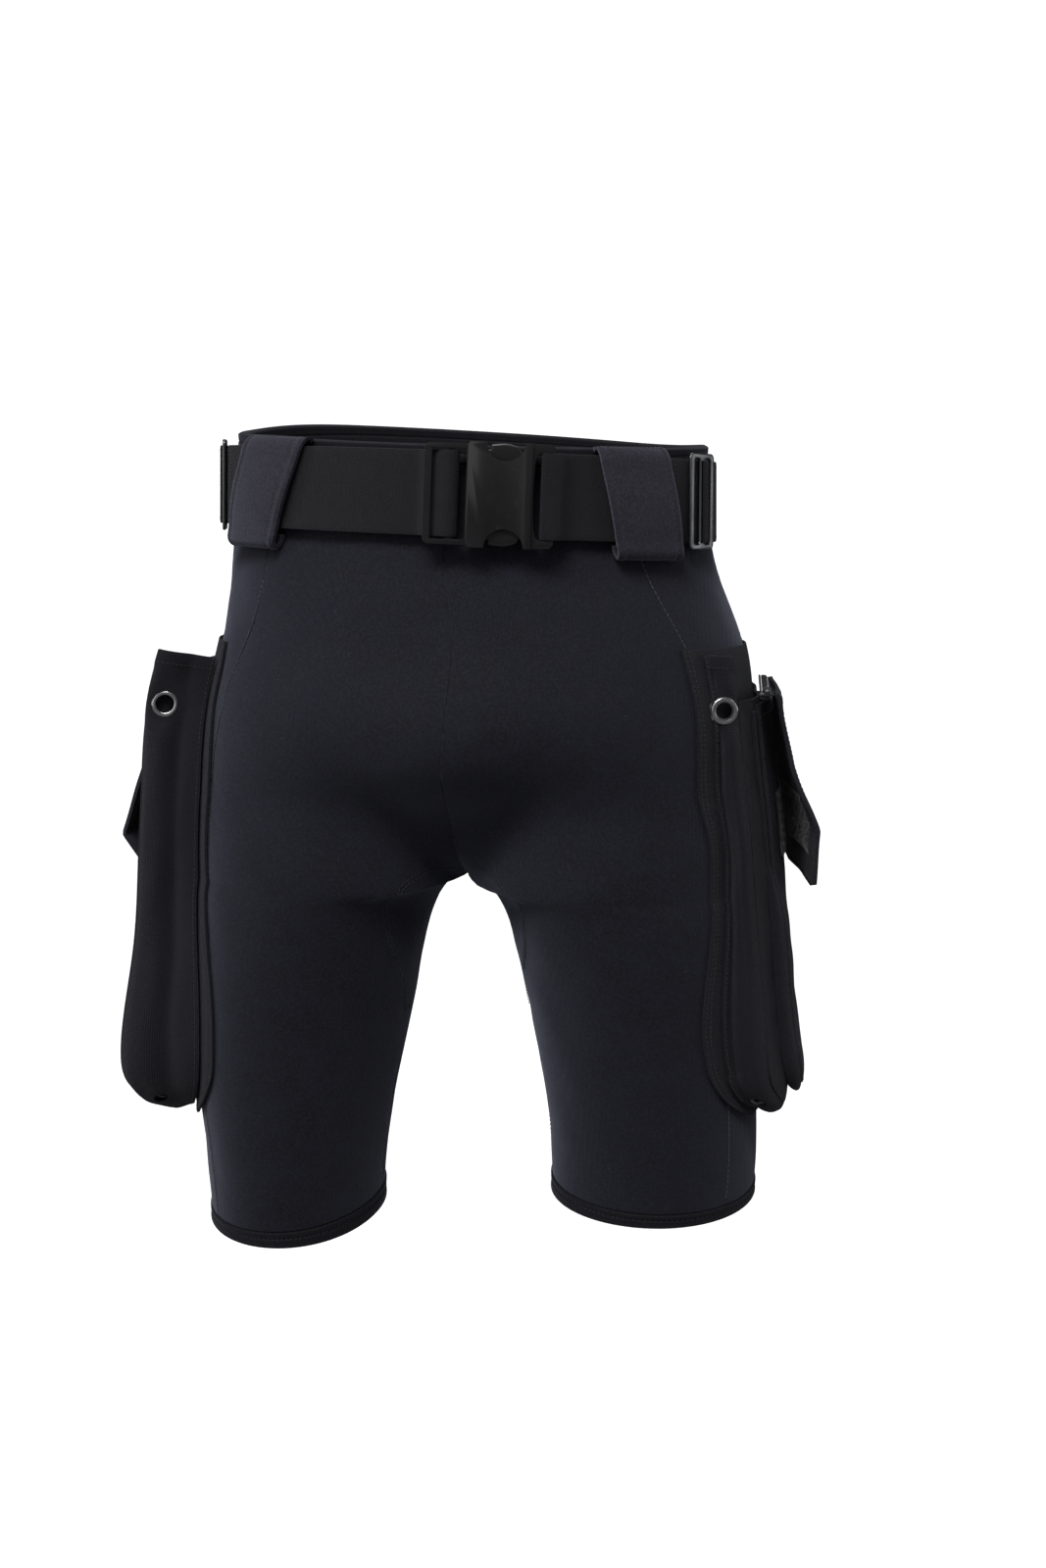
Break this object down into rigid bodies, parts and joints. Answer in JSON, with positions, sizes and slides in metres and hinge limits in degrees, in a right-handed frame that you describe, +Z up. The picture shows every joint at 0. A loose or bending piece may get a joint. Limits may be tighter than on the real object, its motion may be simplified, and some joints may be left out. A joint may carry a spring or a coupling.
{
  "type": "weight belt shorts",
  "caption": "Padded dive shorts carrying a buckled webbing weight belt in loops, with a zipped and flapped weight pocket on each thigh.",
  "frame": {"origin": "centre of the underside of the bounding box, below the middle of the belt ring", "axes": "+Z up the body, -Y the wearer's front, +X the wearer's left"},
  "size_m": [0.4352, 0.2388, 0.5099],
  "materials": {
    "binding": "zip tape",
    "buckle_plastic": "semi-gloss black",
    "dark_metal": "dark coated",
    "hook_and_loop": "hook and loop pile",
    "neoprene": "matt knitted jersey over foam",
    "neoprene_band": "matt folded band",
    "plated_metal": "bright nickel",
    "pocket_fabric": "fine diagonal weave",
    "webbing": "grid-ribbed weave"
  },
  "bodies": {
    "garment": {"back_panel_l": "neoprene", "back_panel_r": "neoprene", "belt_loop_back_centre": "neoprene_band", "belt_loop_back_l": "neoprene_band", "belt_loop_back_r": "neoprene_band", "belt_loop_front_l": "neoprene_band", "belt_loop_front_r": "neoprene_band", "belt_webbing_back": "webbing", "belt_webbing_front_l": "webbing", "belt_webbing_front_r": "webbing", "buckle_female": "buckle_plastic", "crotch_gusset": "neoprene", "drain_eyelet_l": "dark_metal", "drain_eyelet_r": "dark_metal", "eyelet_l": "plated_metal", "eyelet_r": "plated_metal", "eyelet_washer_l": "plated_metal", "eyelet_washer_r": "plated_metal", "front_panel_l": "neoprene", "front_panel_r": "neoprene", "hem_band_l": "neoprene_band", "hem_band_r": "neoprene_band", "loop_patch_l": "hook_and_loop", "loop_patch_r": "hook_and_loop", "outer_face_l": "pocket_fabric", "outer_face_r": "pocket_fabric", "outer_gusset_l": "pocket_fabric", "outer_gusset_r": "pocket_fabric", "pocket_backing_l": "pocket_fabric", "pocket_backing_r": "pocket_fabric", "pocket_face_l": "pocket_fabric", "pocket_face_r": "pocket_fabric", "pocket_gusset_l": "pocket_fabric", "pocket_gusset_r": "pocket_fabric", "waistband": "neoprene_band", "zip_coil_l": "binding", "zip_coil_r": "binding", "zip_tape_inner_l": "binding", "zip_tape_inner_r": "binding", "zip_tape_outer_l": "binding", "zip_tape_outer_r": "binding"},
    "buckle_male": {"buckle_male": "buckle_plastic"},
    "prong_upper": {"buckle_prong_upper": "buckle_plastic"},
    "prong_lower": {"buckle_prong_lower": "buckle_plastic"},
    "adjuster_l": {"slide_adjuster_l": "dark_metal"},
    "adjuster_r": {"slide_adjuster_r": "dark_metal"},
    "zip_slider_l": {"zip_slider_l": "dark_metal"},
    "zip_slider_r": {"zip_slider_r": "dark_metal"},
    "zip_pull_l": {"zip_pull_l": "dark_metal"},
    "zip_pull_r": {"zip_pull_r": "dark_metal"},
    "flap_l": {"pocket_flap_l": "pocket_fabric", "hook_patch_l": "hook_and_loop"},
    "flap_r": {"pocket_flap_r": "pocket_fabric", "hook_patch_r": "hook_and_loop"}
  },
  "joints": [
    {"name": "buckle_release", "type": "slide", "parent": "garment", "child": "buckle_male", "axis": [-0.9924, -0.1181, 0.0357], "range_m": [0, 0.034], "deforming": ["belt_webbing_front_r", "buckle_prong_upper", "buckle_prong_lower"]},
    {"name": "prong_upper_squeeze", "type": "hinge", "parent": "buckle_male", "child": "prong_upper", "pos_m": [0.01993, -0.11256, 0.4851], "axis": [-0.1182, 0.993, 0], "range_deg": [0, 6]},
    {"name": "prong_lower_squeeze", "type": "hinge", "parent": "buckle_male", "child": "prong_lower", "pos_m": [0.01828, -0.11276, 0.43853], "axis": [0.1182, -0.993, 0], "range_deg": [0, 6]},
    {"name": "adjuster_slide_l", "type": "hinge", "parent": "garment", "child": "adjuster_l", "pos_m": [0.06623, 0.00475, 0.45734], "axis": [0.0094, 0.0158, 0.9998], "range_deg": [-4, 6], "deforming": ["belt_webbing_front_l"]},
    {"name": "adjuster_slide_r", "type": "hinge", "parent": "garment", "child": "adjuster_r", "pos_m": [-0.07936, -0.00104, 0.46794], "axis": [-0.0023, 0.0088, -1], "range_deg": [-4, 6], "deforming": ["belt_webbing_front_r"]},
    {"name": "zip_run_l", "type": "slide", "parent": "garment", "child": "zip_slider_l", "axis": [0, 1, 0], "range_m": [0, 0.11]},
    {"name": "zip_pull_tilt_l", "type": "hinge", "parent": "zip_slider_l", "child": "zip_pull_l", "pos_m": [0.18616, -0.05369, 0.34689], "axis": [-0.9996, 0, 0.0286], "range_deg": [-15, 165]},
    {"name": "flap_lift_l", "type": "hinge", "parent": "garment", "child": "flap_l", "pos_m": [0.19517, 0.00631, 0.34083], "axis": [0, -1, 0], "range_deg": [0, 120]},
    {"name": "zip_run_r", "type": "slide", "parent": "garment", "child": "zip_slider_r", "axis": [0, 1, 0], "range_m": [0, 0.089]},
    {"name": "zip_pull_tilt_r", "type": "hinge", "parent": "zip_slider_r", "child": "zip_pull_r", "pos_m": [-0.17534, -0.03069, 0.35135], "axis": [-0.9996, 0, 0.0279], "range_deg": [-15, 165]},
    {"name": "flap_lift_r", "type": "hinge", "parent": "garment", "child": "flap_r", "pos_m": [-0.18483, 0.00631, 0.35172], "axis": [0, 1, 0], "range_deg": [0, 120]}
  ],
  "couplings": [
    {"joint": "prong_lower_squeeze", "follows": "prong_upper_squeeze", "ratio": 1}
  ]
}
